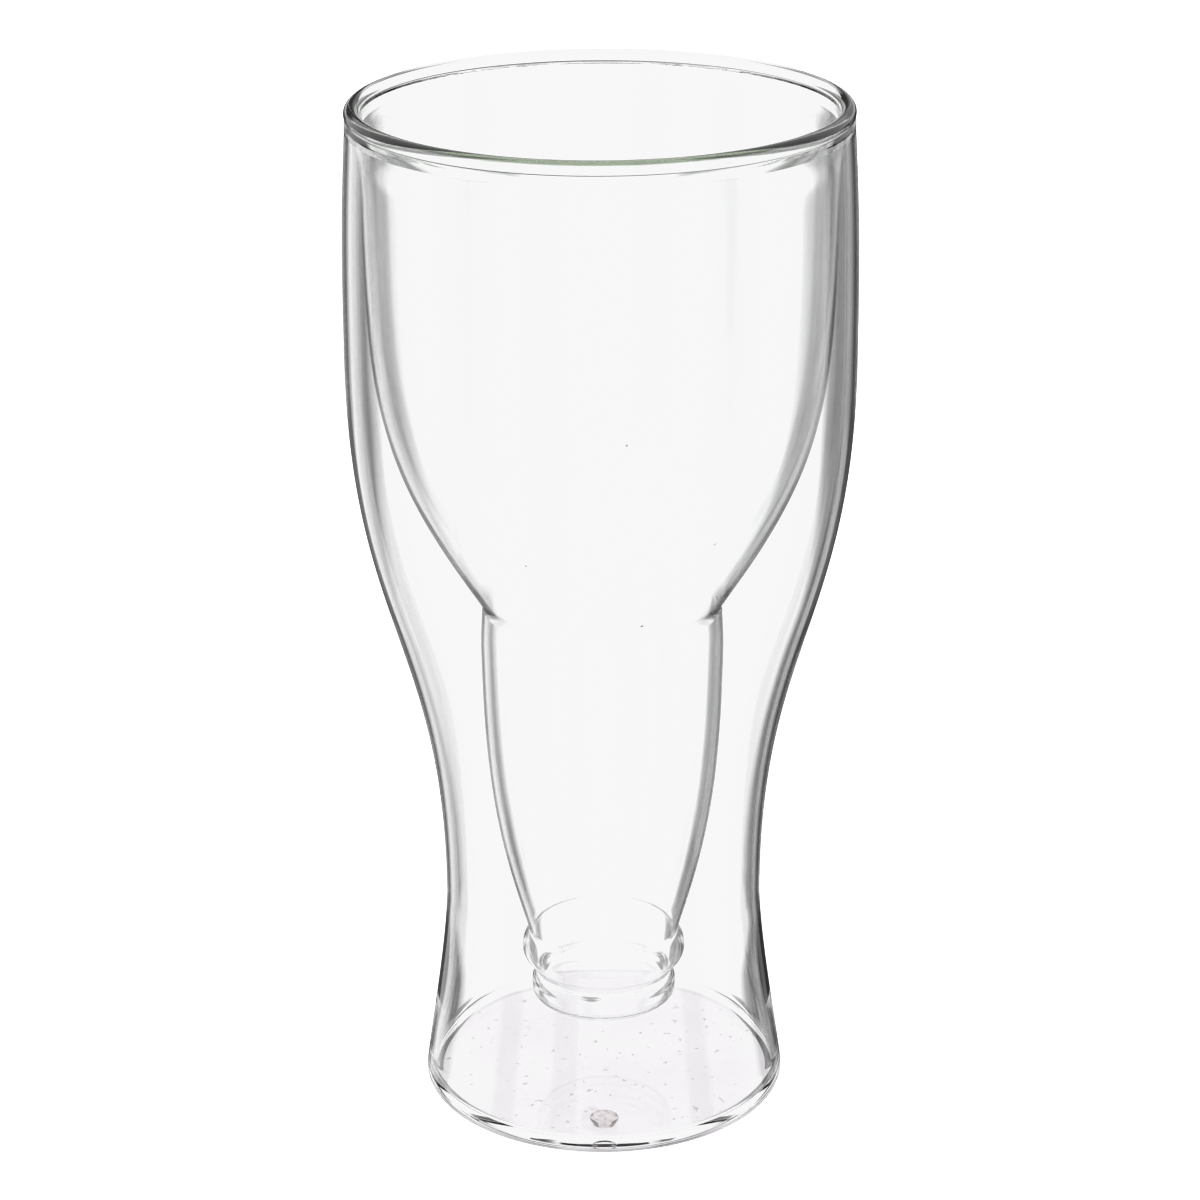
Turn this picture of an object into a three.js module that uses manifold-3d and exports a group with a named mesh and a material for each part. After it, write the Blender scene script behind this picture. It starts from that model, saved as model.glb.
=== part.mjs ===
// Double-walled pint glass: a clear outer shell with a waist, and inside it a shell shaped like an
// upside-down bottle. A rim bead joins the two at the mouth, and a base disc closes the foot.
// Millimetres, +Z up. The origin is the middle of the ring that the glass stands on.

import * as THREE from 'three';
import { mergeVertices } from 'three/addons/utils/BufferGeometryUtils.js';
import Module from 'manifold-3d';

const wasm = await Module();
wasm.setup();

// ---- Driving dimensions ---------------------------------------------------------------------

const TOTAL_HEIGHT = 180;

// Walls, and the seam left between two pieces of glass that are fused together
const OUTER_WALL = 1.5;
const INNER_WALL = 1.3;
const SEAM = 0.1;

// Outer shell, measured on its outside
const FOOT_RADIUS = 32.4;
const WAIST_RADIUS = 28.15;
const WAIST_HEIGHT = 37.6;
const BELLY_RADIUS = 43.5;
const BELLY_DROP = 44.2;
const MOUTH_RADIUS = 42.35;
const FOOT_LEAN = -0.14;
const MOUTH_LEAN = -0.06;
const FOOT_FILLET = 1.5;

// Base disc, domed upwards so that the glass stands on a ring
const BASE_THICKNESS = 2.1;
const PUSH_UP = 0.8;
const FOOT_ROUND = 1.4;
const STAND_RING_WIDTH = 2.5;

// Rim bead
const BEAD_ROUND = 1.33;
const BEAD_DEPTH = 4.3;

// Inner shell, measured on its outside; each rise counts from the feature below it
const END_GAP = 12.4;
const LIP_RADIUS = 13;
const LIP_ROUND = 1.8;
const LIP_BAND = 1.4;
const GROOVE_RADIUS = 12.1;
const GROOVE_RISE = 2;
const COLLAR_RADIUS = 14.6;
const COLLAR_RISE = 5;
const NECK_RADIUS = 13.36;
const NECK_RISE = 3.4;
const NECK_LEAN = 0.29;
const THROAT_RADIUS = 21.2;
const THROAT_RISE = 55.1;
const CREASE_RADIUS = 20.9;
const CREASE_RISE = 8.6;
const SHOULDER_LEAN = 0.66;
const AIR_GAP = 1;
const FLARE_HEIGHT = 6;
const SMALLEST_ROUND = 0.3;

// Seals where the blown glass was closed
const VENT_RADIUS = 2;
const VENT_CAP_OVERLAP = 0.5;
const VENT_CAP_HEIGHT = 0.7;
const VENT_MARGIN = 2.9;
const TIP_RADIUS = 2.2;
const TIP_LENGTH = 1.4;
const TIP_PLACE = new THREE.Vector2(-2.4, -3);

// Facets round the axis
const SIDES = 40;
const SEAL_SIDES = 16;

// ---- Heights and radii that follow from them ------------------------------------------------

const wallFoot = BASE_THICKNESS + SEAM;
const wallTop = TOTAL_HEIGHT - BEAD_DEPTH;
const baseInside = FOOT_RADIUS - OUTER_WALL - FOOT_FILLET;
const standOutside = FOOT_RADIUS - FOOT_ROUND;
const standInside = standOutside - STAND_RING_WIDTH;
const ventCapRadius = VENT_RADIUS + VENT_CAP_OVERLAP;
const ventOffset = baseInside - VENT_MARGIN - ventCapRadius;
const endHeight = BASE_THICKNESS + PUSH_UP + END_GAP;
const innerTopRadius = MOUTH_RADIUS - OUTER_WALL - SEAM;
const bodyRadius = Math.min(BELLY_RADIUS, MOUTH_RADIUS) - OUTER_WALL - AIR_GAP;

// ---- Outlines: points of radius and height --------------------------------------------------

const at = (radius, height) => new THREE.Vector2(radius, height);

/** Curve between two points; a lean is radius gained per height, a reach a share of the rise. */
function sweep(start, startLean, startReach, end, endLean, endReach, steps) {
  const rise = end.y - start.y;
  const curve = new THREE.CubicBezierCurve(
    start,
    at(start.x + startLean * startReach * rise, start.y + startReach * rise),
    at(end.x - endLean * endReach * rise, end.y - endReach * rise),
    end,
  );
  return curve.getPoints(steps);
}

/** Arc about a centre between two angles in degrees, measured from straight outwards. */
function arc(centre, radius, from, to, steps) {
  const points = [];
  for (let step = 0; step <= steps; step += 1) {
    const angle = THREE.MathUtils.degToRad(from + ((to - from) * step) / steps);
    points.push(at(centre.x + radius * Math.cos(angle), centre.y + radius * Math.sin(angle)));
  }
  return points;
}

/** Height that the push-up adds at a radius, when its edge is at another. */
function pushUpAt(radius, edge) {
  return PUSH_UP * (1 - (radius / edge) ** 2);
}

/** Shallow dome from the axis out to an edge, raised by the push-up in the middle. */
function dome(height, edge, steps) {
  const points = [];
  for (let step = 0; step <= steps; step += 1) {
    const radius = (edge * step) / steps;
    points.push(at(radius, height + pushUpAt(radius, edge)));
  }
  return points;
}

/** Side of the outer shell from foot to mouth, moved inwards by an inset. */
function outerSide(inset, startHeight) {
  const foot = at(FOOT_RADIUS + FOOT_LEAN * (startHeight - wallFoot) - inset, startHeight);
  const waist = at(WAIST_RADIUS - inset, WAIST_HEIGHT);
  const belly = at(BELLY_RADIUS - inset, TOTAL_HEIGHT - BELLY_DROP);
  const mouth = at(MOUTH_RADIUS - inset, wallTop);
  return [
    ...sweep(foot, FOOT_LEAN, 0.28, waist, 0, 0.25, 5),
    ...sweep(waist, 0, 0.486, belly, 0, 0.47, 11),
    ...sweep(belly, 0, 0.56, mouth, MOUTH_LEAN, 0.26, 4),
  ];
}

/** Side of the inner shell from the middle of its closed end to its top, moved inwards. */
function innerSide(inset) {
  const round = Math.max(LIP_ROUND - inset, SMALLEST_ROUND);
  const corner = at(LIP_RADIUS - inset - round, endHeight + inset + round);
  const lip = at(LIP_RADIUS - inset, endHeight + LIP_ROUND + LIP_BAND);
  const groove = at(GROOVE_RADIUS - inset, lip.y + GROOVE_RISE);
  const collar = at(COLLAR_RADIUS - inset, groove.y + COLLAR_RISE);
  const neck = at(NECK_RADIUS - inset, collar.y + NECK_RISE);
  const throat = at(THROAT_RADIUS - inset, neck.y + THROAT_RISE);
  const crease = at(CREASE_RADIUS - inset, throat.y + CREASE_RISE);
  const body = at(bodyRadius - inset, wallTop - FLARE_HEIGHT);
  const top = at(innerTopRadius - inset, wallTop);
  return [
    at(0, endHeight + inset),
    ...arc(corner, round, -90, 0, 3),
    ...sweep(lip, 0, 0.4, groove, 0, 0.3, 2),
    ...sweep(groove, 0, 0.25, collar, 0, 0.5, 4),
    ...sweep(collar, 0, 0.55, neck, 0, 0.15, 3),
    ...sweep(neck, NECK_LEAN, 0.23, throat, 0, 0.55, 7),
    ...sweep(throat, 0, 0.4, crease, 0, 0.4, 2),
    ...sweep(crease, SHOULDER_LEAN, 0.36, body, 0, 0.52, 10),
    ...sweep(body, 0, 0.45, top, 0.2, 0.3, 3),
  ];
}

// ---- Solids ---------------------------------------------------------------------------------

/** Outline with points that stand on the one before them left out. */
function withoutRepeats(points) {
  return points.filter((point, index) => index === 0 || point.distanceTo(points[index - 1]) > 1e-6);
}

/** Solid turned about +Z from an outline that runs outwards along the bottom, then up. */
function turned(points, sides) {
  const geometry = new THREE.LatheGeometry(withoutRepeats(points), sides);
  return geometry.rotateX(Math.PI / 2);
}

/** Ring-shaped solid between an outside and an inside, both listed from bottom to top. */
function turnedWall(outside, inside) {
  return turned([...outside, ...inside.toReversed(), outside[0]], SIDES);
}

/** Closed solid for cutting, made from a geometry whose shared vertices are merged. */
function solidOf(geometry) {
  const plain = geometry.clone();
  plain.deleteAttribute('normal');
  plain.deleteAttribute('uv');
  const merged = mergeVertices(plain, 1e-4);
  return new wasm.Manifold(new wasm.Mesh({
    numProp: 3,
    vertProperties: merged.attributes.position.array,
    triVerts: new Uint32Array(merged.index.array),
  }));
}

/** Geometry with another one cut out of it. */
function cut(geometry, tool) {
  const mesh = solidOf(geometry).subtract(solidOf(tool)).getMesh();
  const result = new THREE.BufferGeometry();
  result.setAttribute('position', new THREE.BufferAttribute(mesh.vertProperties, mesh.numProp));
  result.setIndex(new THREE.BufferAttribute(mesh.triVerts, 1));
  result.computeVertexNormals();
  return result;
}

function makeOuterShell() {
  const filletCentre = at(baseInside, wallFoot + FOOT_FILLET);
  const fillet = arc(filletCentre, FOOT_FILLET, -90, 0, 3);
  const outside = outerSide(0, wallFoot);
  const inside = outerSide(OUTER_WALL, wallFoot + FOOT_FILLET);
  return turnedWall(outside, [...fillet, ...inside.slice(1)]);
}

function makeInnerShell() {
  const outside = innerSide(0);
  const inside = innerSide(INNER_WALL);
  return turned([...outside, ...inside.toReversed()], SIDES);
}

function makeRimBead() {
  const bottom = wallTop + SEAM;
  const centre = at(MOUTH_RADIUS - BEAD_ROUND, TOTAL_HEIGHT - BEAD_ROUND);
  const round = arc(centre, BEAD_ROUND, -50, 190, 12);
  const outer = at(MOUTH_RADIUS, bottom);
  const groove = at(MOUTH_RADIUS + MOUTH_LEAN, TOTAL_HEIGHT - 2.1 * BEAD_ROUND);
  const inner = at(innerTopRadius - INNER_WALL, bottom);
  const throatSide = sweep(inner, 0.2, 0.3, round.at(-1), 0.1, 0.3, 3);
  return turned([inner, outer, groove, ...round, ...throatSide.toReversed()], SIDES);
}

function makeBaseDisc() {
  const underside = dome(0, standInside, 5);
  const foot = arc(at(standOutside, FOOT_ROUND), FOOT_ROUND, -90, 0, 4);
  const top = dome(BASE_THICKNESS, baseInside, 5).toReversed();
  const disc = turned([...underside, ...foot, at(FOOT_RADIUS, BASE_THICKNESS), ...top], SIDES);
  const hole = turned([
    at(0, -PUSH_UP),
    at(VENT_RADIUS, -PUSH_UP),
    at(VENT_RADIUS, endHeight),
    at(0, endHeight),
  ], SEAL_SIDES);
  return cut(disc, hole.translate(0, -ventOffset, 0));
}

function makeVentSeal() {
  const shaft = VENT_RADIUS - SEAM;
  const bottom = pushUpAt(ventOffset, standInside) + SEAM;
  const seat = BASE_THICKNESS + pushUpAt(ventOffset - ventCapRadius, baseInside) + SEAM;
  const round = VENT_CAP_HEIGHT / 2;
  const cap = arc(at(ventCapRadius - round, seat + round), round, -90, 90, 4);
  return turned([
    at(0, bottom),
    at(shaft, bottom),
    at(shaft, seat),
    ...cap,
    at(0, seat + round),
  ], SEAL_SIDES);
}

function makeTipSeal() {
  const drop = [];
  const steps = 5;
  for (let step = 0; step <= steps; step += 1) {
    const angle = (Math.PI / 2) * (step / steps);
    drop.push(at(TIP_RADIUS * Math.sin(angle), -SEAM - TIP_LENGTH * Math.cos(angle)));
  }
  return turned([...drop, at(0, -SEAM)], SEAL_SIDES);
}

// ---- The glass ------------------------------------------------------------------------------

const CLEAR_GLASS = { color: 0xf4f6f5, roughness: 0.02, metalness: 0 };
const RIM_GLASS = { color: 0xdfe7df, roughness: 0.02, metalness: 0 };
const BASE_GLASS = { color: 0xf0eef2, roughness: 0.05, metalness: 0 };

const group = new THREE.Group();

function add(name, geometry, finish) {
  const mesh = new THREE.Mesh(geometry, new THREE.MeshStandardMaterial(finish));
  mesh.name = name;
  group.add(mesh);
  return mesh;
}

add('outer_shell', makeOuterShell(), CLEAR_GLASS);
add('inner_shell', makeInnerShell(), CLEAR_GLASS);
add('rim_bead', makeRimBead(), RIM_GLASS);
add('base_disc', makeBaseDisc(), BASE_GLASS);
add('vent_seal', makeVentSeal(), BASE_GLASS).position.set(0, -ventOffset, 0);
add('tip_seal', makeTipSeal(), CLEAR_GLASS).position.set(TIP_PLACE.x, TIP_PLACE.y, endHeight);

export default group;
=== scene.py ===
"""Double-walled pint glass: fine glass pieces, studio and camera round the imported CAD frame.

The glass is an outer shell with a waist, an inner shell shaped like an upside-down bottle, a rim
bead that joins them, a base disc and two flame seals. Every piece is turned from an outline of
radius and height in millimetres, with the overall sizes read from the frame.
"""

import logging
import math
from dataclasses import dataclass, field
from enum import Enum
from typing import Callable, Iterable

import bpy
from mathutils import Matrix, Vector


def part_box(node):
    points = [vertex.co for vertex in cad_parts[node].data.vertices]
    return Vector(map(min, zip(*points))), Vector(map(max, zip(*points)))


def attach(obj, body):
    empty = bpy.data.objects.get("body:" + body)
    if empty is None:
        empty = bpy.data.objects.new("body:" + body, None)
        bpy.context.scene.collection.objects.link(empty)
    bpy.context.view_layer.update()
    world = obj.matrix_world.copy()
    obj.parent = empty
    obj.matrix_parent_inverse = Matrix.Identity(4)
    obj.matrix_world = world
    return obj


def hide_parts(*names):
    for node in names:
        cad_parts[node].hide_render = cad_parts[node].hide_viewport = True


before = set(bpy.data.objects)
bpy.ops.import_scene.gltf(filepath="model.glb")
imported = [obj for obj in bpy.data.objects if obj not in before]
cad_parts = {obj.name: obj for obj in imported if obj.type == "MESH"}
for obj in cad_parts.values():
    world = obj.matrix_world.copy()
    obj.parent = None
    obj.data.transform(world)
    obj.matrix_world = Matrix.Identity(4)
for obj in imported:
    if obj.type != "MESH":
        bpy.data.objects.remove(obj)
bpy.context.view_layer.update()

LOG = logging.getLogger("pint_glass")
MM = 0.001
ROOT = "root"
LEVEL_NORMAL = 0.99
SEAM_TOLERANCE = 0.01 * MM

Point = tuple[float, float]
Colour = tuple[float, float, float]


class Slot(Enum):
    """Material slots of the record, listed beside each piece; settle takes one but does nothing with
    it.
    """

    CLEAR = "clear_glass"
    RIM = "rim_glass"
    BASE = "base_glass"
    SEAL = "seal_glass"


# ---- Outlines -------------------------------------------------------------------------------


def sweep(start: Point, lean: float, reach: float, end: Point, end_lean: float, end_reach: float,
          steps: int) -> list[Point]:
    """Points of a curve between two points of radius and height.

    Args:
        start: First point.
        lean: Radius gained per height where the curve leaves the start.
        reach: Share of the rise over which that lean pulls the curve.
        end: Last point.
        end_lean: Radius gained per height where the curve meets the end.
        end_reach: Share of the rise over which that lean pulls the curve.
        steps: Number of stretches.

    Returns:
        The points from start to end, both included.
    """
    rise = end[1] - start[1]
    first = (start[0] + lean * reach * rise, start[1] + reach * rise)
    last = (end[0] - end_lean * end_reach * rise, end[1] - end_reach * rise)
    points = []
    for step in range(steps + 1):
        along = step / steps
        back = 1 - along
        weights = (back ** 3, 3 * back * back * along, 3 * back * along * along, along ** 3)
        corners = (start, first, last, end)
        points.append((
            sum(weight * corner[0] for weight, corner in zip(weights, corners)),
            sum(weight * corner[1] for weight, corner in zip(weights, corners)),
        ))
    return points


def arc(centre: Point, radius: float, start: float, end: float, steps: int) -> list[Point]:
    """Points of an arc.

    Args:
        centre: Radius and height of the arc's centre.
        radius: Radius of the arc itself.
        start: First angle in degrees, from straight outwards, anticlockwise.
        end: Last angle in degrees.
        steps: Number of stretches.

    Returns:
        The points from the first angle to the last, both included.
    """
    points = []
    for step in range(steps + 1):
        angle = math.radians(start + (end - start) * step / steps)
        points.append((centre[0] + radius * math.cos(angle), centre[1] + radius * math.sin(angle)))
    return points


def ease(value: float, start: float, end: float) -> float:
    """Share from 0 at the start to 1 at the end, easing in and out."""
    share = min(max((value - start) / (end - start), 0.0), 1.0)
    return share * share * (3 - 2 * share)


def without_repeats(points: Iterable[Point]) -> list[Point]:
    """The points in order, with any that stands on the one before it left out."""
    kept: list[Point] = []
    for point in points:
        if not kept or math.dist(point, kept[-1]) > 1e-5:
            kept.append(point)
    return kept


# ---- Modelling ------------------------------------------------------------------------------


def select_only(piece: bpy.types.Object) -> None:
    """Makes the piece the only selected and the active object."""
    bpy.ops.object.select_all(action="DESELECT")
    piece.select_set(True)
    bpy.context.view_layer.objects.active = piece


def turn(name: str, points: list[Point], sides: int, centre: Point = (0.0, 0.0)) -> bpy.types.Object:
    """Turns an outline about a vertical axis into a closed piece.

    Args:
        name: Name of the new piece.
        points: Outline in millimetres of radius and height, closed on itself or along the axis.
        sides: Number of steps round the axis.
        centre: Where the axis stands, in millimetres of x and y.

    Returns:
        The piece, with its place in its mesh and its faces pointing out.
    """
    outline = without_repeats(points)
    bpy.ops.object.select_all(action="DESELECT")
    bpy.ops.mesh.primitive_circle_add(vertices=len(outline), radius=1.0, fill_type="NOTHING")
    piece = bpy.context.object
    piece.name = name
    piece.data.name = name
    for vertex, (radius, height) in zip(piece.data.vertices, outline):
        vertex.co = Vector((radius, 0.0, height)) * MM
    bpy.ops.object.mode_set(mode="EDIT")
    bpy.ops.mesh.select_all(action="SELECT")
    bpy.ops.mesh.spin(steps=sides, angle=math.tau, center=(0, 0, 0), axis=(0, 0, 1))
    bpy.ops.mesh.select_all(action="SELECT")
    bpy.ops.mesh.remove_doubles(threshold=0.001 * MM)
    bpy.ops.mesh.delete_loose(use_verts=True, use_edges=True, use_faces=False)
    bpy.ops.mesh.select_all(action="SELECT")
    bpy.ops.mesh.normals_make_consistent(inside=False)
    bpy.ops.transform.translate(value=(centre[0] * MM, centre[1] * MM, 0.0))
    bpy.ops.object.mode_set(mode="OBJECT")
    return piece


def bubble(piece: bpy.types.Object, middle: tuple[float, float, float], radius: float) -> None:
    """Puts a round bubble in the glass of a piece, with its faces pointing at the air inside it.

    Args:
        piece: Piece that the bubble goes into.
        middle: Place of the bubble in millimetres.
        radius: Radius of the bubble in millimetres.
    """
    select_only(piece)
    bpy.ops.object.mode_set(mode="EDIT")
    bpy.ops.mesh.select_all(action="DESELECT")
    bpy.ops.mesh.primitive_uv_sphere_add(
        segments=24, ring_count=12, radius=radius * MM, location=[place * MM for place in middle]
    )
    bpy.ops.mesh.flip_normals()
    bpy.ops.object.mode_set(mode="OBJECT")


def smooth(piece: bpy.types.Object, degrees: float = 40.0) -> None:
    """Shades the piece smooth, apart from edges that fold by more than the angle."""
    select_only(piece)
    bpy.ops.object.shade_smooth_by_angle(angle=math.radians(degrees))


# ---- Node helpers ---------------------------------------------------------------------------


Socket = bpy.types.NodeSocket


def work_out(tree: bpy.types.NodeTree, operation: str, *values: Socket | float) -> Socket:
    """Adds a maths node.

    Args:
        tree: Node tree to add to.
        operation: What the node works out.
        values: Sockets or numbers that it takes.

    Returns:
        The socket of the answer.
    """
    node = tree.nodes.new("ShaderNodeMath")
    node.operation = operation
    for place, value in zip(node.inputs, values):
        if isinstance(value, bpy.types.NodeSocket):
            tree.links.new(value, place)
        else:
            place.default_value = value
    return node.outputs[0]


def slide(tree: bpy.types.NodeTree, value: Socket, start: Point, end: Point) -> Socket:
    """Adds a node that slides from one number to another.

    Args:
        tree: Node tree to add to.
        value: Socket that drives the slide.
        start: Value where the slide starts and the number it gives there.
        end: Value where the slide ends and the number it gives there.

    Returns:
        The socket of the number.
    """
    node = tree.nodes.new("ShaderNodeMapRange")
    node.inputs["From Min"].default_value = start[0]
    node.inputs["From Max"].default_value = end[0]
    node.inputs["To Min"].default_value = start[1]
    node.inputs["To Max"].default_value = end[1]
    tree.links.new(value, node.inputs["Value"])
    return node.outputs["Result"]


def mix_colours(tree: bpy.types.NodeTree, share: Socket, first: Socket, second: Colour) -> Socket:
    """Adds a node that mixes one colour into another.

    Args:
        tree: Node tree to add to.
        share: Socket of how much of the second colour there is, from 0 to 1.
        first: Socket of the first colour.
        second: Second colour.

    Returns:
        The socket of the mixed colour.
    """
    node = tree.nodes.new("ShaderNodeMix")
    node.data_type = "RGBA"
    tree.links.new(share, node.inputs[0])
    tree.links.new(first, node.inputs[6])
    node.inputs[7].default_value = (*second, 1.0)
    return node.outputs[2]


# ---- Finishes -------------------------------------------------------------------------------


@dataclass(frozen=True)
class Speckle:
    """Fine specks in the glass.

    Attributes:
        colour: Colour that light takes on in a speck.
        scale: How many specks there could be to a metre.
        threshold: Noise above which there is a speck, from 0 to 1.
        edge: Noise over which a speck fades in.
    """

    colour: Colour
    scale: float
    threshold: float
    edge: float = 0.04


@dataclass(frozen=True)
class PaintedShadeCap:
    """Painted shade on the top of a lip: greener and darker than the rest where it faces the front.

    Attributes:
        colour: Colour of the painted shade on the top of the lip.
        thickness: How far below the top of the rim the painted shade begins, in millimetres.
        reach: How far in front of the axis it has its full colour, in millimetres.
        edge: Height over which the colour fades in, in millimetres.
        side_share: Share of the colour that is left at the sides and the back.
    """

    colour: Colour
    thickness: float
    reach: float
    edge: float = 0.25
    side_share: float = 0.2


@dataclass(frozen=True)
class GlassFinish:
    """Clear glass with a faint tint that drifts and a surface that isn't quite even.

    Attributes:
        name: Name of the material.
        tint: Colour of the glass where it is clearest.
        deep_tint: Colour that the tint drifts towards.
        drift_scale: How many tint clouds there are to a metre.
        wave_scale: How many surface waves there are to a metre.
        wave_height: Height of a surface wave in millimetres.
        roughness: Roughness of the polish.
        index: Index of refraction.
        speckle: Fine specks in the glass, if it has any.
        painted_shade_cap: Painted shade, greener and darker, on the top, if it has one.
    """

    name: str
    tint: Colour
    deep_tint: Colour
    drift_scale: float = 30.0
    wave_scale: float = 60.0
    wave_height: float = 0.01
    roughness: float = 0.0
    index: float = 1.47
    speckle: Speckle | None = None
    painted_shade_cap: PaintedShadeCap | None = None

    def add_speckle(self, tree: bpy.types.NodeTree, place: Socket, colour: Socket) -> Socket:
        """Mixes the specks into a colour.

        Args:
            tree: Node tree of the material.
            place: Socket of the place in the object.
            colour: Socket of the colour so far.

        Returns:
            The socket of the colour with its specks.
        """
        noise = tree.nodes.new("ShaderNodeTexNoise")
        noise.inputs["Scale"].default_value = self.speckle.scale
        noise.inputs["Detail"].default_value = 3.0
        tree.links.new(place, noise.inputs["Vector"])
        start = self.speckle.threshold
        share = slide(tree, noise.outputs["Fac"], (start, 0.0), (start + self.speckle.edge, 1.0))
        return mix_colours(tree, share, colour, self.speckle.colour)

    def add_painted_shade_cap(self, tree: bpy.types.NodeTree, place: Socket, colour: Socket) -> Socket:
        """Mixes the painted shade on the top into a colour.

        Args:
            tree: Node tree of the material.
            place: Socket of the place in the object.
            colour: Socket of the colour so far.

        Returns:
            The socket of the colour with the painted shade on its top.
        """
        parts = tree.nodes.new("ShaderNodeSeparateXYZ")
        tree.links.new(place, parts.inputs["Vector"])
        low = (node_size("rim_bead", 2) - self.painted_shade_cap.thickness) * MM
        risen = slide(tree, parts.outputs["Z"], (low, 0.0), (low + self.painted_shade_cap.edge * MM, 1.0))
        reach = self.painted_shade_cap.reach * MM
        front = slide(tree, parts.outputs["Y"], (-reach, 1.0), (0.0, self.painted_shade_cap.side_share))
        return mix_colours(tree, work_out(tree, "MULTIPLY", risen, front), colour, self.painted_shade_cap.colour)

    def make(self) -> bpy.types.Material:
        """Builds the material's nodes and returns it."""
        material = bpy.data.materials.new(self.name)
        material.use_nodes = True
        nodes = material.node_tree.nodes
        links = material.node_tree.links
        shader = nodes["Principled BSDF"]
        shader.inputs["Transmission Weight"].default_value = 1.0
        shader.inputs["IOR"].default_value = self.index
        shader.inputs["Roughness"].default_value = self.roughness
        place = nodes.new("ShaderNodeTexCoord")
        drift = nodes.new("ShaderNodeTexNoise")
        drift.inputs["Scale"].default_value = self.drift_scale
        drift.inputs["Detail"].default_value = 2.0
        ramp = nodes.new("ShaderNodeValToRGB")
        ramp.color_ramp.elements[0].position = 0.35
        ramp.color_ramp.elements[0].color = (*self.tint, 1.0)
        ramp.color_ramp.elements[1].position = 0.75
        ramp.color_ramp.elements[1].color = (*self.deep_tint, 1.0)
        links.new(place.outputs["Object"], drift.inputs["Vector"])
        links.new(drift.outputs["Fac"], ramp.inputs["Fac"])
        colour = ramp.outputs["Color"]
        if self.speckle:
            colour = self.add_speckle(material.node_tree, place.outputs["Object"], colour)
        # Painted shade on the lip's top, strongest where it faces the front.
        if self.painted_shade_cap:
            colour = self.add_painted_shade_cap(material.node_tree, place.outputs["Object"], colour)
        links.new(colour, shader.inputs["Base Color"])
        wave = nodes.new("ShaderNodeTexNoise")
        wave.inputs["Scale"].default_value = self.wave_scale
        wave.inputs["Detail"].default_value = 1.0
        bump = nodes.new("ShaderNodeBump")
        bump.inputs["Distance"].default_value = self.wave_height * MM
        links.new(place.outputs["Object"], wave.inputs["Vector"])
        links.new(wave.outputs["Fac"], bump.inputs["Height"])
        links.new(bump.outputs["Normal"], shader.inputs["Normal"])
        return material


@dataclass(frozen=True)
class FusedSeam:
    """Face where two pieces of glass are melted into one, so that light passes straight on."""

    name: str = "fused_seam"

    def make(self) -> bpy.types.Material:
        """Builds the material and returns it."""
        material = bpy.data.materials.new(self.name)
        material.use_nodes = True
        nodes = material.node_tree.nodes
        clear = nodes.new("ShaderNodeBsdfTransparent")
        material.node_tree.links.new(clear.outputs["BSDF"], nodes["Material Output"].inputs["Surface"])
        return material


def dress(piece: bpy.types.Object, finish: bpy.types.Material, seam: bpy.types.Material,
          is_seam: Callable[[Vector, Vector], bool]) -> None:
    """Gives a piece its glass, and its fused faces the seam's finish.

    Args:
        piece: Piece to dress.
        finish: Material of the glass.
        seam: Material of the fused faces.
        is_seam: Says from a face's middle and normal whether it is fused to a neighbour.
    """
    piece.data.materials.clear()
    piece.data.materials.append(finish)
    piece.data.materials.append(seam)
    for face in piece.data.polygons:
        face.material_index = 1 if is_seam(face.center, face.normal) else 0


def settle(piece: bpy.types.Object, node: str, slot: Slot) -> None:
    """Puts a finished piece in the place of its CAD node."""
    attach(piece, ROOT)
    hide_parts(node)
    LOG.info("%s: %d faces", piece.name, len(piece.data.polygons))


# ---- Sizes that the pieces share ------------------------------------------------------------


def node_size(node: str, axis: int) -> float:
    """Highest coordinate of a CAD node along an axis, in millimetres."""
    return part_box(node)[1][axis] / MM


@dataclass
class GlassPlan:
    """Sizes of the whole glass in millimetres, the overall ones read from the frame."""

    total_height: float = field(default_factory=lambda: node_size("rim_bead", 2))
    foot_radius: float = field(default_factory=lambda: node_size("base_disc", 0))
    belly_radius: float = field(default_factory=lambda: node_size("outer_shell", 0))
    mouth_radius: float = field(default_factory=lambda: node_size("rim_bead", 0))
    wall_top: float = field(default_factory=lambda: node_size("outer_shell", 2))
    end_height: float = field(default_factory=lambda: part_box("inner_shell")[0][2] / MM)
    outer_wall: float = 1.5
    inner_wall: float = 1.3
    drawn_outer_wall: float = 1.05
    drawn_inner_wall: float = 0.85
    waist_radius: float = 28.15
    waist_height: float = 37.6
    belly_drop: float = 44.2
    foot_lean: float = -0.14
    mouth_lean: float = -0.06
    foot_fillet: float = 1.5
    base_thickness: float = 2.1
    push_up: float = 0.8
    sides: int = 256

    @property
    def base_inside(self) -> float:
        """Radius where the flat of the base meets the fillet up to the wall."""
        return self.foot_radius - self.outer_wall - self.foot_fillet

    @property
    def inner_top_radius(self) -> float:
        """Outside radius of the inner shell where it meets the rim bead."""
        return self.mouth_radius - self.outer_wall - 0.1

    def push_up_at(self, radius: float, edge: float) -> float:
        """Height that the push-up adds at a radius, when its edge is at another."""
        return self.push_up * (1 - (radius / edge) ** 2)


# ---- Pieces ---------------------------------------------------------------------------------


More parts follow.
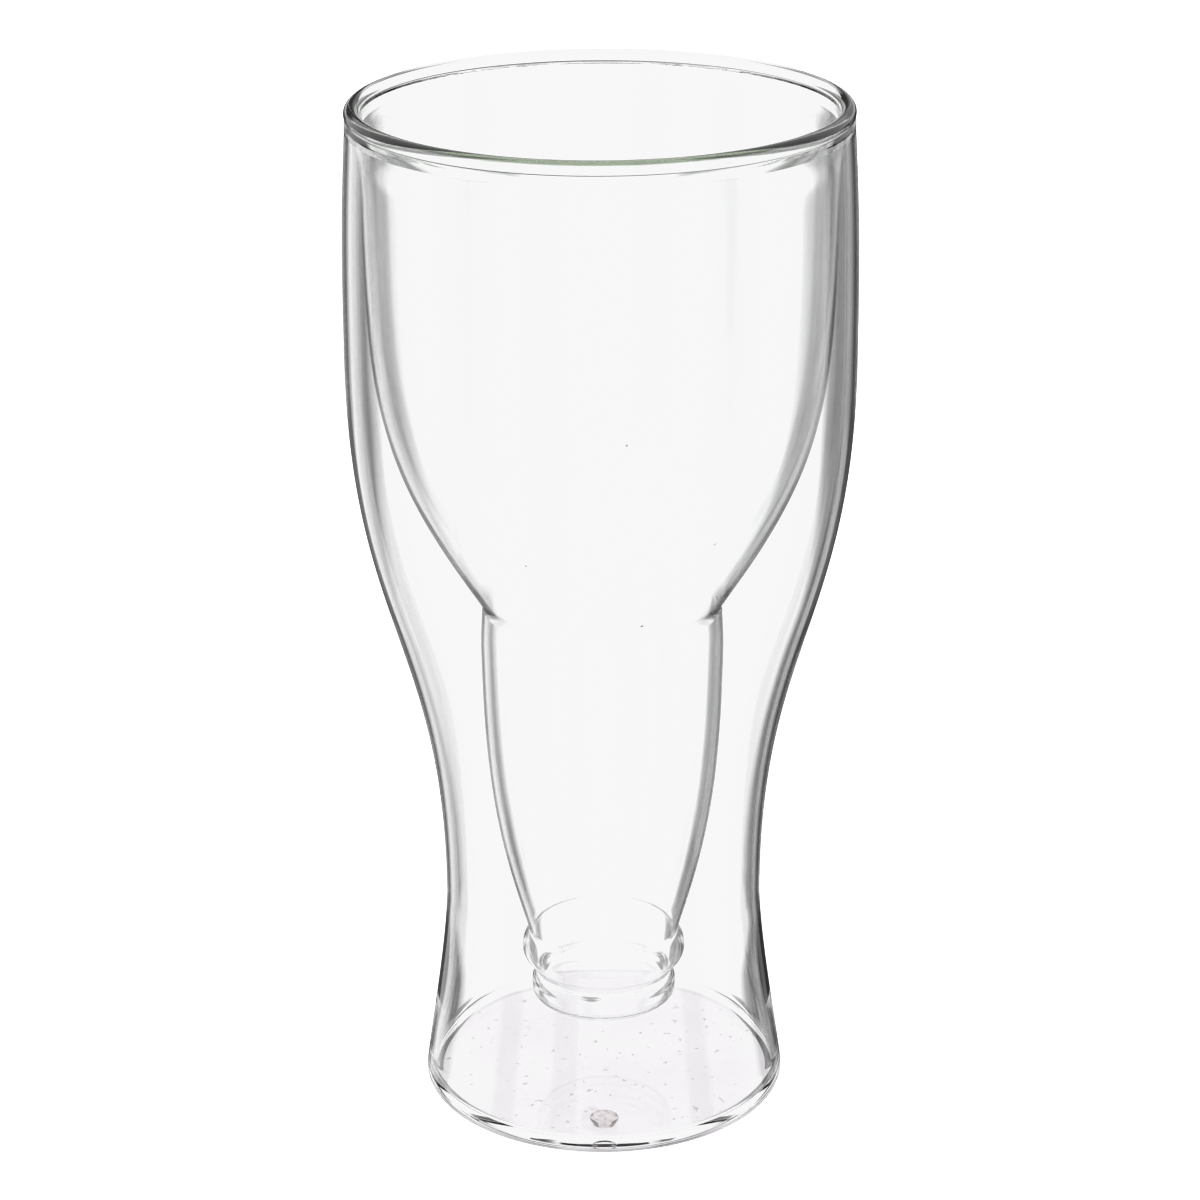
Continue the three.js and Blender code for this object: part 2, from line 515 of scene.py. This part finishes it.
@dataclass
class OuterShell:
    """Waisted outer wall from the base disc up to the rim bead, drawn thinner at the waist."""

    plan: GlassPlan
    foot_thick: Point = (12.0, 34.0)
    belly_thick: Point = (90.0, 130.0)

    def drawn_share(self, height: float) -> float:
        """How far the wall has been drawn thin at a height, from 0 to 1."""
        return ease(height, *self.foot_thick) * (1 - ease(height, *self.belly_thick))

    def side(self, inset: float, start_height: float) -> list[Point]:
        """Outline from foot to mouth.

        Args:
            inset: How far inside the outer surface the outline lies.
            start_height: Height that it starts at.

        Returns:
            Points from bottom to top.
        """
        plan = self.plan
        lean = plan.foot_lean
        foot_radius = plan.foot_radius + lean * (start_height - plan.base_thickness) - inset
        foot = (foot_radius, start_height)
        waist = (plan.waist_radius - inset, plan.waist_height)
        belly = (plan.belly_radius - inset, plan.total_height - plan.belly_drop)
        mouth = (plan.mouth_radius - inset, plan.wall_top)
        return [
            *sweep(foot, lean, 0.28, waist, 0.0, 0.25, 30),
            *sweep(waist, 0.0, 0.486, belly, 0.0, 0.47, 60),
            *sweep(belly, 0.0, 0.56, mouth, plan.mouth_lean, 0.26, 24),
        ]

    def build(self) -> bpy.types.Object:
        """Turns the wall and returns it."""
        plan = self.plan
        centre = (plan.base_inside, plan.base_thickness + plan.foot_fillet)
        fillet = arc(centre, plan.foot_fillet, -90, 0, 8)
        outside = self.side(0.0, plan.base_thickness)
        inside = self.side(plan.outer_wall, plan.base_thickness + plan.foot_fillet)
        spare = plan.outer_wall - plan.drawn_outer_wall
        drawn = [(radius + spare * self.drawn_share(height), height) for radius, height in inside[1:]]
        inner_edge = [*fillet, *drawn]
        piece = turn("outer_shell_glass", [*outside, *reversed(inner_edge)], plan.sides)
        smooth(piece)
        return piece

    def is_seam(self, middle: Vector, normal: Vector) -> bool:
        """True for the faces that are fused to the base disc and to the rim bead."""
        low = self.plan.base_thickness * MM
        high = self.plan.wall_top * MM
        nearest = min(abs(middle.z - low), abs(middle.z - high))
        return abs(normal.z) > LEVEL_NORMAL and nearest < SEAM_TOLERANCE


@dataclass(frozen=True)
class Seed:
    """Tiny bubble in the wall.

    Attributes:
        heading: Where it lies round the axis in degrees, from the front towards the right.
        height: Height above the table in millimetres.
        radius: Radius of the bubble in millimetres.
    """

    heading: float
    height: float
    radius: float


@dataclass
class InnerShell:
    """Inner wall shaped like an upside-down bottle, with its closed end below."""

    plan: GlassPlan
    lip_radius: float = 13.0
    lip_round: float = 1.8
    lip_band: float = 1.4
    groove_radius: float = 12.1
    groove_rise: float = 2.0
    collar_radius: float = 14.6
    collar_rise: float = 5.0
    neck_radius: float = 13.36
    neck_rise: float = 3.4
    neck_lean: float = 0.29
    throat_radius: float = 21.2
    throat_rise: float = 55.1
    crease_radius: float = 20.9
    crease_rise: float = 8.6
    shoulder_lean: float = 0.66
    air_gap: float = 1.0
    flare_height: float = 6.0
    smallest_round: float = 0.3
    seeds: tuple[Seed, ...] = (
        Seed(heading=17.0, height=96.0, radius=0.28),
        Seed(heading=35.0, height=112.0, radius=0.24),
        Seed(heading=6.0, height=133.0, radius=0.22),
        Seed(heading=-24.0, height=109.0, radius=0.2),
        Seed(heading=-63.0, height=121.0, radius=0.2),
    )

    def side(self, inset: float) -> list[Point]:
        """Outline from the middle of the closed end to the top, moved inwards by an inset."""
        plan = self.plan
        end = plan.end_height
        round_off = max(self.lip_round - inset, self.smallest_round)
        corner = (self.lip_radius - inset - round_off, end + inset + round_off)
        lip = (self.lip_radius - inset, end + self.lip_round + self.lip_band)
        groove = (self.groove_radius - inset, lip[1] + self.groove_rise)
        collar = (self.collar_radius - inset, groove[1] + self.collar_rise)
        neck = (self.neck_radius - inset, collar[1] + self.neck_rise)
        throat = (self.throat_radius - inset, neck[1] + self.throat_rise)
        crease = (self.crease_radius - inset, throat[1] + self.crease_rise)
        narrowest = min(plan.belly_radius, plan.mouth_radius)
        body = (narrowest - plan.outer_wall - self.air_gap - inset, plan.wall_top - self.flare_height)
        top = (plan.inner_top_radius - inset, plan.wall_top)
        return [
            (0.0, end + inset),
            *arc(corner, round_off, -90, 0, 8),
            *sweep(lip, 0.0, 0.4, groove, 0.0, 0.3, 8),
            *sweep(groove, 0.0, 0.25, collar, 0.0, 0.5, 14),
            *sweep(collar, 0.0, 0.55, neck, 0.0, 0.15, 12),
            *sweep(neck, self.neck_lean, 0.23, throat, 0.0, 0.55, 40),
            *sweep(throat, 0.0, 0.4, crease, 0.0, 0.4, 8),
            *sweep(crease, self.shoulder_lean, 0.36, body, 0.0, 0.52, 54),
            *sweep(body, 0.0, 0.45, top, 0.2, 0.3, 10),
        ]

    def inside(self) -> list[Point]:
        """Outline of the inner surface, closer to the outer one where the glass was drawn thin."""
        plan = self.plan
        thick = self.side(plan.inner_wall)
        thin = self.side(plan.drawn_inner_wall)
        outline = []
        for (radius, height), (thin_radius, thin_height) in zip(thick, thin):
            share = 1 - ease(height, plan.wall_top - self.flare_height, plan.wall_top)
            outline.append((
                radius + (thin_radius - radius) * share,
                height + (thin_height - height) * share,
            ))
        return outline

    def radius_at(self, height: float) -> float:
        """Outside radius of the shell at a height."""
        return min(self.side(0.0), key=lambda point: abs(point[1] - height))[0]

    def build(self) -> bpy.types.Object:
        """Turns the shell, puts its seeds in the wall and returns it."""
        piece = turn("inner_shell_glass", [*self.side(0.0), *reversed(self.inside())], self.plan.sides)
        for seed in self.seeds:
            reach = self.radius_at(seed.height) - self.plan.drawn_inner_wall / 2
            across = reach * math.sin(math.radians(seed.heading))
            back = -reach * math.cos(math.radians(seed.heading))
            bubble(piece, (across, back, seed.height), seed.radius)
        smooth(piece)
        return piece

    def is_seam(self, middle: Vector, normal: Vector) -> bool:
        """True for the faces that are fused to the rim bead."""
        return abs(normal.z) > LEVEL_NORMAL and abs(middle.z - self.plan.wall_top * MM) < SEAM_TOLERANCE


@dataclass
class RimBead:
    """Fire-polished ring that joins the two shells at the mouth."""

    plan: GlassPlan
    bead_round: float = 1.33

    def build(self) -> bpy.types.Object:
        """Turns the bead and returns it."""
        plan = self.plan
        bottom = plan.wall_top
        centre = (plan.mouth_radius - self.bead_round, plan.total_height - self.bead_round)
        bead = arc(centre, self.bead_round, -50, 190, 48)
        outer = (plan.mouth_radius, bottom)
        groove = (plan.mouth_radius + plan.mouth_lean, plan.total_height - 2.1 * self.bead_round)
        inner = (plan.inner_top_radius - plan.inner_wall, bottom)
        throat_side = sweep(inner, 0.2, 0.3, bead[-1], 0.1, 0.3, 10)
        under_gap = [
            (plan.inner_top_radius, bottom),
            (plan.mouth_radius - plan.outer_wall, bottom),
        ]
        outline = [inner, *under_gap, outer, groove, *bead, *reversed(throat_side)]
        piece = turn("rim_bead_glass", outline[:-1], plan.sides)
        smooth(piece)
        return piece

    def is_seam(self, middle: Vector, normal: Vector) -> bool:
        """True for the faces that are fused to the two shells."""
        plan = self.plan
        if normal.z > -LEVEL_NORMAL or abs(middle.z - plan.wall_top * MM) > SEAM_TOLERANCE:
            return False
        reach = math.hypot(middle.x, middle.y) / MM
        return not plan.inner_top_radius < reach < plan.mouth_radius - plan.outer_wall


@dataclass
class BaseDisc:
    """Disc with a rounded foot, pushed up in the middle so that the glass stands on a ring."""

    plan: GlassPlan
    foot_round: float = 1.4
    stand_ring_width: float = 2.5

    @property
    def stand_inside(self) -> float:
        """Inside radius of the ring that the glass stands on."""
        return self.plan.foot_radius - self.foot_round - self.stand_ring_width

    def dome(self, height: float, edge: float, steps: int) -> list[Point]:
        """Points of a shallow dome from the axis out to its edge."""
        radii = [edge * step / steps for step in range(steps + 1)]
        return [(radius, height + self.plan.push_up_at(radius, edge)) for radius in radii]

    def build(self) -> bpy.types.Object:
        """Turns the disc and returns it."""
        plan = self.plan
        underside = self.dome(0.0, self.stand_inside, 40)
        foot = arc((plan.foot_radius - self.foot_round, self.foot_round), self.foot_round, -90, 0, 10)
        top = self.dome(plan.base_thickness, plan.base_inside, 40)
        edge = (plan.foot_radius, plan.base_thickness)
        piece = turn("base_disc_glass", [*underside, *foot, edge, *reversed(top)], plan.sides)
        smooth(piece)
        return piece

    def is_seam(self, middle: Vector, normal: Vector) -> bool:
        """True for the faces that are fused to the outer shell."""
        plan = self.plan
        on_top = normal.z > LEVEL_NORMAL and abs(middle.z - plan.base_thickness * MM) < SEAM_TOLERANCE
        return on_top and math.hypot(middle.x, middle.y) > plan.base_inside * MM


@dataclass
class VentSeal:
    """Drop of glass that closes the vent hole in the base disc."""

    plan: GlassPlan

    def build(self) -> bpy.types.Object:
        """Turns the drop and returns it."""
        low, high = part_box("vent_seal")
        centre = ((low[0] + high[0]) / 2 / MM, (low[1] + high[1]) / 2 / MM)
        radius = (high[0] - low[0]) / 2 / MM
        top = high[2] / MM
        outline = [
            (0.0, top - 1.0),
            (radius - 0.35, top - 1.0),
            *arc((radius - 0.35, top - 0.35), 0.35, -90, 90, 8),
            *sweep((radius - 0.5, top), -0.5, 0.3, (0.0, top - 0.35), -1.0, 0.2, 10),
        ]
        piece = turn("vent_seal_glass", outline, 64, centre)
        smooth(piece)
        return piece

    def is_seam(self, middle: Vector, normal: Vector) -> bool:
        """True for the underside, which is fused to the disc."""
        return normal.z < -LEVEL_NORMAL


@dataclass
class TipSeal:
    """Pulled-off drop under the closed end of the inner shell, with a dimple in its tip."""

    plan: GlassPlan
    crest_share: float = 0.42
    dimple_share: float = 0.55

    def build(self) -> bpy.types.Object:
        """Turns the drop and returns it."""
        low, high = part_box("tip_seal")
        centre = ((low[0] + high[0]) / 2 / MM, (low[1] + high[1]) / 2 / MM)
        radius = (high[0] - low[0]) / 2 / MM
        top = self.plan.end_height
        depth = top - low[2] / MM
        crest = (radius * self.crest_share, top - depth)
        dimple = sweep((0.0, top - depth * self.dimple_share), 0.0, 0.0, crest, -2.0, 0.3, 8)
        flank = sweep(crest, 0.9, 0.5, (radius, top), 0.4, 0.4, 12)
        piece = turn("tip_seal_glass", [*dimple, *flank, (0.0, top)], 64, centre)
        smooth(piece)
        return piece

    def is_seam(self, middle: Vector, normal: Vector) -> bool:
        """True for the top, which is fused to the closed end."""
        return normal.z > LEVEL_NORMAL


# ---- Studio ---------------------------------------------------------------------------------


@dataclass(frozen=True)
class Flag:
    """Upright strip of the surroundings that is darker or lighter than the white round it.

    Attributes:
        heading: Middle of the strip in degrees, from +Y towards +X.
        half_width: Half its width in degrees.
        light: How bright it is, where the white is 1.
    """

    heading: float
    half_width: float
    light: float


FLAGS = (
    Flag(-154.0, 8.0, 0.4),
    Flag(-113.0, 8.0, 0.35),
    Flag(-54.0, 7.5, 0.3),
    Flag(-36.75, 9.75, 1.05),
    Flag(-18.5, 8.5, 0.14),
    Flag(18.5, 9.0, 0.07),
    Flag(32.0, 4.5, 0.4),
    Flag(39.0, 2.5, 0.1),
    Flag(46.0, 4.5, 0.5),
    Flag(55.0, 4.5, 0.1),
    Flag(116.0, 8.0, 0.35),
)


@dataclass
class Studio:
    """White floor, soft surroundings with dark flags, and the camera."""

    floor_size: float = 6.0
    floor_glow: float = 1.6
    white_light: float = 1.25
    brightest: float = 2.0
    flag_softness: float = 0.7
    flag_middle: float = -0.34
    flag_reach: float = 0.33
    flag_edge: float = 0.04
    beam_rise: Point = (0.11, 0.3)
    beam_softness: float = 0.02
    beam_top_softness: float = 0.03
    beam_half_width: float = 22.0
    beam_end_spread: float = 1.4
    beam_fade: Point = (-1.0, 7.0)
    beam_light: float = 0.12
    beam_end_light: float = 0.6
    camera_distance: float = 551.5
    camera_height: float = 305.1
    camera_pitch: float = 21.15
    camera_roll: float = 0.25
    camera_turn: float = -0.06
    lens: float = 101.8
    sensor_width: float = 36.0
    light_bounces: int = 32
    gloss_bounces: int = 16
    film_points: tuple[Point, ...] = ((1.0, 0.925), (1.45, 0.95))

    def build_floor(self) -> None:
        """Lays the floor as part of the stage."""
        bpy.ops.object.select_all(action="DESELECT")
        bpy.ops.mesh.primitive_plane_add(size=self.floor_size)
        floor = bpy.context.object
        floor.name = "floor"
        material = bpy.data.materials.new("floor_white")
        material.use_nodes = True
        shader = material.node_tree.nodes["Principled BSDF"]
        shader.inputs["Base Color"].default_value = (0.85, 0.85, 0.85, 1.0)
        shader.inputs["Roughness"].default_value = 0.8
        shader.inputs["Emission Color"].default_value = (1.0, 1.0, 1.0, 1.0)
        shader.inputs["Emission Strength"].default_value = self.floor_glow
        floor.data.materials.append(material)
        floor.visible_glossy = False
        floor.visible_transmission = False

    def flag_stops(self) -> list[tuple[float, float]]:
        """Stops of heading and light round the whole circle, in order."""
        stops = []
        for flag in sorted(FLAGS, key=lambda flag: flag.heading):
            start = flag.heading - flag.half_width
            end = flag.heading + flag.half_width
            if stops and start - self.flag_softness <= stops[-1][0]:
                stops.pop()
                start = stops[-1][0] + 2 * self.flag_softness
                stops.append((start, flag.light))
            else:
                stops.append((start - self.flag_softness, self.white_light))
                stops.append((start + self.flag_softness, flag.light))
            stops.append((end - self.flag_softness, flag.light))
            stops.append((end + self.flag_softness, self.white_light))
        return stops

    def build_surroundings(self) -> None:
        """Makes the world: white all round, with upright dark flags near the horizon."""
        world = bpy.data.worlds.new("studio")
        bpy.context.scene.world = world
        world.use_nodes = True
        nodes = world.node_tree.nodes
        links = world.node_tree.links
        background = nodes["Background"]
        background.inputs["Color"].default_value = (1.0, 1.0, 1.0, 1.0)
        place = nodes.new("ShaderNodeTexCoord")
        parts = nodes.new("ShaderNodeSeparateXYZ")
        links.new(place.outputs["Generated"], parts.inputs["Vector"])
        tree = world.node_tree
        heading = work_out(tree, "ARCTAN2", parts.outputs["X"], parts.outputs["Y"])
        ramp = nodes.new("ShaderNodeValToRGB")
        stops = self.flag_stops()
        while len(ramp.color_ramp.elements) < len(stops):
            ramp.color_ramp.elements.new(1.0)
        for element, (degrees, light) in zip(ramp.color_ramp.elements, stops):
            element.position = (degrees + 180.0) / 360.0
            share_of_white = light / self.brightest
            element.color = (share_of_white, share_of_white, share_of_white, 1.0)
        links.new(slide(tree, heading, (-math.pi, 0.0), (math.pi, 1.0)), ramp.inputs["Fac"])
        flags = work_out(tree, "MULTIPLY", ramp.outputs["Color"], self.brightest)
        rise = work_out(tree, "SUBTRACT", parts.outputs["Z"], self.flag_middle)
        reach = work_out(tree, "ABSOLUTE", rise)
        start = (self.flag_reach - self.flag_edge, 0.0)
        end = (self.flag_reach + self.flag_edge, 1.0)
        beyond = slide(tree, reach, start, end)
        plain = self.blend(tree, beyond, flags, self.white_light)
        light = self.hang_beam(tree, parts.outputs["Z"], heading, plain)
        ray = nodes.new("ShaderNodeLightPath")
        seen = self.blend(tree, ray.outputs["Is Camera Ray"], light, self.floor_glow)
        links.new(seen, background.inputs["Strength"])

    @staticmethod
    def blend(tree: bpy.types.NodeTree, share: Socket, first: Socket, second: Socket | float) -> Socket:
        """Adds a node that goes from one number to another.

        Args:
            tree: Node tree to add to.
            share: Socket of how much of the second number there is, from 0 to 1.
            first: Socket of the first number.
            second: Second number, or its socket.

        Returns:
            The socket of the number in between.
        """
        node = tree.nodes.new("ShaderNodeMix")
        node.data_type = "FLOAT"
        tree.links.new(share, node.inputs[0])
        tree.links.new(first, node.inputs[2])
        if isinstance(second, bpy.types.NodeSocket):
            tree.links.new(second, node.inputs[3])
        else:
            node.inputs[3].default_value = second
        return node.outputs[0]

    def hang_beam(self, tree: bpy.types.NodeTree, rise: Socket, heading: Socket,
                  light: Socket) -> Socket:
        """Hangs a dark beam above the backdrop, which fades out to the right.

        Args:
            tree: Node tree of the world.
            rise: Sine of the direction's elevation.
            heading: Heading of the direction in radians.
            light: Light of the surroundings so far.

        Returns:
            The light with the beam in it.
        """
        low, high = self.beam_rise
        soft = self.beam_softness
        above = slide(tree, rise, (low - soft, 0.0), (low + soft, 1.0))
        top_soft = self.beam_top_softness
        below = slide(tree, rise, (high - top_soft, 1.0), (high + top_soft, 0.0))
        aside = work_out(tree, "ABSOLUTE", heading)
        end = math.radians(self.beam_half_width)
        within = slide(tree, aside, (end, 1.0), (end * self.beam_end_spread, 0.0))
        share = work_out(tree, "MULTIPLY", work_out(tree, "MULTIPLY", above, below), within)
        fade_start, fade_end = (math.radians(degrees) for degrees in self.beam_fade)
        beam = slide(tree, heading, (fade_start, self.beam_light), (fade_end, self.beam_end_light))
        return self.blend(tree, share, light, beam)

    def build_camera(self) -> None:
        """Sets up the camera that the glass is shown through."""
        bpy.ops.object.select_all(action="DESELECT")
        bpy.ops.object.camera_add(location=(0.0, -self.camera_distance * MM, self.camera_height * MM))
        camera = bpy.context.object
        camera.name = "studio_camera"
        camera.rotation_euler = (
            math.radians(90 - self.camera_pitch),
            math.radians(self.camera_roll),
            math.radians(self.camera_turn),
        )
        camera.data.sensor_width = self.sensor_width
        camera.data.lens = self.lens
        camera.data.dof.use_dof = False
        bpy.context.scene.camera = camera

    def set_exposure(self) -> None:
        """Shows the light as it is, and lets it pass through every wall of the glass."""
        scene = bpy.context.scene
        scene.view_settings.view_transform = "Standard"
        scene.view_settings.use_curve_mapping = True
        curves = scene.view_settings.curve_mapping
        curves.white_level = (self.floor_glow, self.floor_glow, self.floor_glow)
        film = curves.curves[3].points
        for light, shown in self.film_points:
            point = film.new(light / self.floor_glow, shown)
            point.handle_type = "VECTOR"
        for point in film:
            point.handle_type = "VECTOR"
        curves.update()
        scene.cycles.max_bounces = self.light_bounces
        scene.cycles.transmission_bounces = self.light_bounces
        scene.cycles.glossy_bounces = self.gloss_bounces
        scene.cycles.transparent_max_bounces = self.light_bounces


# ---- Finishes of this glass -----------------------------------------------------------------


CLEAR_GLASS = GlassFinish(
    name="clear_glass",
    tint=(0.985, 0.985, 0.985),
    deep_tint=(0.978, 0.98, 0.983),
)
RIM_GLASS = GlassFinish(
    name="rim_glass",
    tint=(0.96, 0.98, 0.955),
    deep_tint=(0.94, 0.965, 0.935),
    # The near-black green cap on the lip's top, strongest at the front, is painted shade.
    painted_shade_cap=PaintedShadeCap(colour=(0.09, 0.125, 0.07), thickness=0.75, reach=30.0),
)
# The base glass's darker mauve tint is painted shade, standing in for the shadow under the glass seen
# through the base; its specks are the glass's own.
BASE_GLASS_WITH_PAINTED_SHADE = GlassFinish(
    name="base_glass",
    tint=(0.8, 0.78, 0.805),
    deep_tint=(0.75, 0.73, 0.755),
    drift_scale=60.0,
    wave_scale=90.0,
    wave_height=0.02,
    speckle=Speckle(colour=(0.35, 0.3, 0.3), scale=600.0, threshold=0.68),
)
SEAL_GLASS = GlassFinish(
    name="seal_glass",
    tint=(0.8, 0.74, 0.73),
    deep_tint=(0.62, 0.55, 0.54),
    drift_scale=400.0,
    wave_scale=600.0,
    wave_height=0.08,
    speckle=Speckle(colour=(0.45, 0.38, 0.36), scale=1200.0, threshold=0.55),
)
SCAR_GLASS = GlassFinish(
    name="scar_glass",
    tint=(0.3, 0.27, 0.29),
    deep_tint=(0.1, 0.09, 0.1),
    drift_scale=500.0,
    wave_scale=600.0,
    wave_height=0.08,
    speckle=Speckle(colour=(0.02, 0.015, 0.02), scale=900.0, threshold=0.42),
)


# ---- Assembly -------------------------------------------------------------------------------


def main() -> None:
    """Builds the studio and the glass in order."""
    logging.basicConfig(level=logging.INFO, format="%(name)s %(message)s")
    studio = Studio()
    studio.build_camera()
    studio.build_floor()
    studio.build_surroundings()
    studio.set_exposure()

    seam = FusedSeam().make()
    clear = CLEAR_GLASS.make()
    rim = RIM_GLASS.make()
    base = BASE_GLASS_WITH_PAINTED_SHADE.make()
    seal = SEAL_GLASS.make()
    scar = SCAR_GLASS.make()

    plan = GlassPlan()
    pieces = (
        (OuterShell(plan), "outer_shell", Slot.CLEAR, clear),
        (InnerShell(plan), "inner_shell", Slot.CLEAR, clear),
        (RimBead(plan), "rim_bead", Slot.RIM, rim),
        (BaseDisc(plan), "base_disc", Slot.BASE, base),
        (VentSeal(plan), "vent_seal", Slot.SEAL, seal),
        (TipSeal(plan), "tip_seal", Slot.SEAL, scar),
    )
    for maker, node, slot, finish in pieces:
        piece = maker.build()
        dress(piece, finish, seam, maker.is_seam)
        settle(piece, node, slot)


if __name__ == "__main__":
    main()
